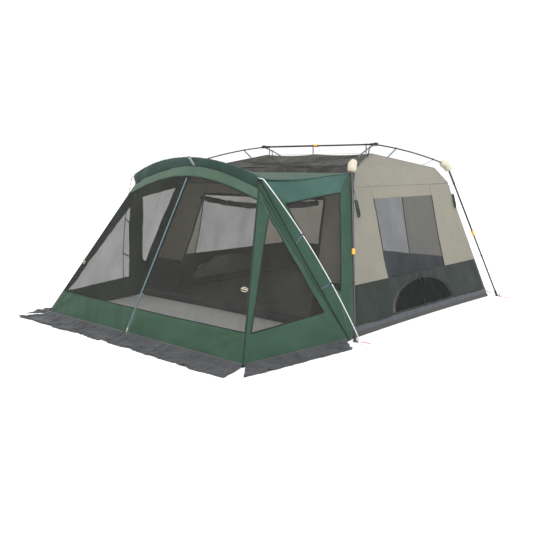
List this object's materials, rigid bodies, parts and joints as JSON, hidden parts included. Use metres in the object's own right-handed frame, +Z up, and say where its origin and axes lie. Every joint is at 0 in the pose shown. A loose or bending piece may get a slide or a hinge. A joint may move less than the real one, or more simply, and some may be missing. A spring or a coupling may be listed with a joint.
{
  "type": "screen house cabin tent",
  "caption": "Family cabin tent on a folding outside frame, with a hooped insect-screen porch, mesh doors, low vents and a ground skirt.",
  "frame": {"origin": "on the ground, under the middle of the whole tent's length and width", "axes": "+Y from the porch to the back of the cabin, +X to the tent's right side seen from the porch, +Z up"},
  "size_m": [4.36, 5.473, 2.2],
  "materials": {
    "green_cloth": "woven polyester, matt",
    "dark_green_cloth": "woven polyester, matt",
    "beige_cloth": "woven polyester, matt",
    "screen_mesh": "fine open net",
    "black_mesh": "dense black net",
    "window_mesh": "fine grey net",
    "ground_cloth": "coated sheet",
    "skirt_cloth": "coated polyester, wrinkled",
    "webbing": "flat woven strap",
    "black_tube": "satin powder coat",
    "steel_tube": "satin",
    "black_plastic": "moulded",
    "orange_plastic": "moulded",
    "grey_plastic": "moulded",
    "red_plastic": "moulded",
    "cream_fleece": "short pile",
    "hoop_rod": "glass-fibre rod",
    "zip_tape": "woven tape with coil teeth",
    "zip_metal": "painted",
    "rope": "braided cord"
  },
  "bodies": {
    "root": {"groundsheet": "ground_cloth", "right_lower_wall": "green_cloth", "left_lower_wall": "green_cloth", "back_lower_wall": "green_cloth", "front_lower_wall": "green_cloth", "right_upper_wall": "beige_cloth", "left_upper_wall": "beige_cloth", "back_upper_wall": "beige_cloth", "front_upper_wall": "beige_cloth", "cabin_windows": "window_mesh", "door_roll": "black_mesh", "roof_front_mesh": "black_mesh", "roof_back_panel": "beige_cloth", "roof_gables": "beige_cloth", "porch_roof": "green_cloth", "porch_brow": "dark_green_cloth", "porch_front_band": "green_cloth", "right_side_panels": "green_cloth", "left_side_panels": "green_cloth", "right_side_meshes": "screen_mesh", "left_side_meshes": "screen_mesh", "porch_skirts": "skirt_cloth", "porch_hoop": "hoop_rod", "upper_legs": "black_tube", "lock_collars": "orange_plastic", "ridge_outer_tube": "black_tube", "ridge_inner_tube": "steel_tube", "roof_poles": "black_tube", "roof_hubs": "black_plastic", "knuckle_brackets": "black_plastic", "knuckle_pads": "cream_fleece", "pole_clips": "black_plastic", "hanging_straps": "webbing", "ground_pegs": "red_plastic", "front_guy_hank": "rope", "back_guy_hank": "rope"},
    "front_right_leg": {"front_right_lower_leg": "black_tube", "front_right_foot": "black_plastic"},
    "front_right_button": {"front_right_button": "grey_plastic"},
    "front_left_leg": {"front_left_lower_leg": "black_tube", "front_left_foot": "black_plastic"},
    "front_left_button": {"front_left_button": "grey_plastic"},
    "back_right_leg": {"back_right_lower_leg": "black_tube", "back_right_foot": "black_plastic"},
    "back_right_button": {"back_right_button": "grey_plastic"},
    "back_left_leg": {"back_left_lower_leg": "black_tube", "back_left_foot": "black_plastic"},
    "back_left_button": {"back_left_button": "grey_plastic"},
    "ridge_button": {"ridge_button": "grey_plastic"},
    "right_door": {"right_door_mesh": "screen_mesh", "right_door_hem": "green_cloth", "right_zip_tape": "zip_tape", "right_door_toggle": "zip_metal"},
    "right_hatch": {"right_hatch": "black_mesh"},
    "left_door": {"left_door_mesh": "screen_mesh", "left_door_hem": "green_cloth", "left_zip_tape": "zip_tape", "left_door_toggle": "zip_metal"},
    "left_hatch": {"left_hatch": "black_mesh"},
    "zip_slider": {"zip_slider": "zip_metal"}
  },
  "joints": [
    {"name": "front_right_leg_slide", "type": "slide", "parent": "root", "child": "front_right_leg", "axis": [-0.2635, 0.3083, 0.9141], "range_m": [0, 0.5]},
    {"name": "front_right_button_press", "type": "slide", "parent": "root", "child": "front_right_button", "axis": [-0.6566, 0.6368, -0.404], "range_m": [0, 0.004], "stiffness_N_per_m": 600, "springref_m": -0.002},
    {"name": "front_left_leg_slide", "type": "slide", "parent": "root", "child": "front_left_leg", "axis": [0.2635, 0.3083, 0.9141], "range_m": [0, 0.5]},
    {"name": "front_left_button_press", "type": "slide", "parent": "root", "child": "front_left_button", "axis": [0.6566, 0.6368, -0.404], "range_m": [0, 0.004], "stiffness_N_per_m": 600, "springref_m": -0.002},
    {"name": "back_right_leg_slide", "type": "slide", "parent": "root", "child": "back_right_leg", "axis": [-0.2635, -0.3083, 0.9141], "range_m": [0, 0.5]},
    {"name": "back_right_button_press", "type": "slide", "parent": "root", "child": "back_right_button", "axis": [-0.6566, -0.6368, -0.404], "range_m": [0, 0.004], "stiffness_N_per_m": 600, "springref_m": -0.002},
    {"name": "back_left_leg_slide", "type": "slide", "parent": "root", "child": "back_left_leg", "axis": [0.2635, -0.3083, 0.9141], "range_m": [0, 0.5]},
    {"name": "back_left_button_press", "type": "slide", "parent": "root", "child": "back_left_button", "axis": [0.6566, -0.6368, -0.404], "range_m": [0, 0.004], "stiffness_N_per_m": 600, "springref_m": -0.002},
    {"name": "ridge_button_press", "type": "slide", "parent": "root", "child": "ridge_button", "axis": [0, 1, 0], "range_m": [0, 0.004], "stiffness_N_per_m": 600, "springref_m": -0.002},
    {"name": "right_door_hinge", "type": "hinge", "parent": "root", "child": "right_door", "pos_m": [1.77, -2.3725, 0], "axis": [-0.3327, 0.467, 0.8193], "range_deg": [0, 100]},
    {"name": "right_hatch_hinge", "type": "hinge", "parent": "root", "child": "right_hatch", "pos_m": [1.87251, 0.8775, 0.13], "axis": [0, 1, 0], "range_deg": [0, 110]},
    {"name": "left_door_hinge", "type": "hinge", "parent": "root", "child": "left_door", "pos_m": [-1.77, -2.3725, 0], "axis": [-0.3327, -0.467, -0.8193], "range_deg": [0, 100]},
    {"name": "left_hatch_hinge", "type": "hinge", "parent": "root", "child": "left_hatch", "pos_m": [-1.87251, 0.8775, 0.13], "axis": [0, -1, 0], "range_deg": [0, 110]},
    {"name": "zip_slide", "type": "slide", "parent": "right_door", "child": "zip_slider", "axis": [0.1017, 0.4098, 0.9065], "range_m": [0, 1.75]}
  ]
}
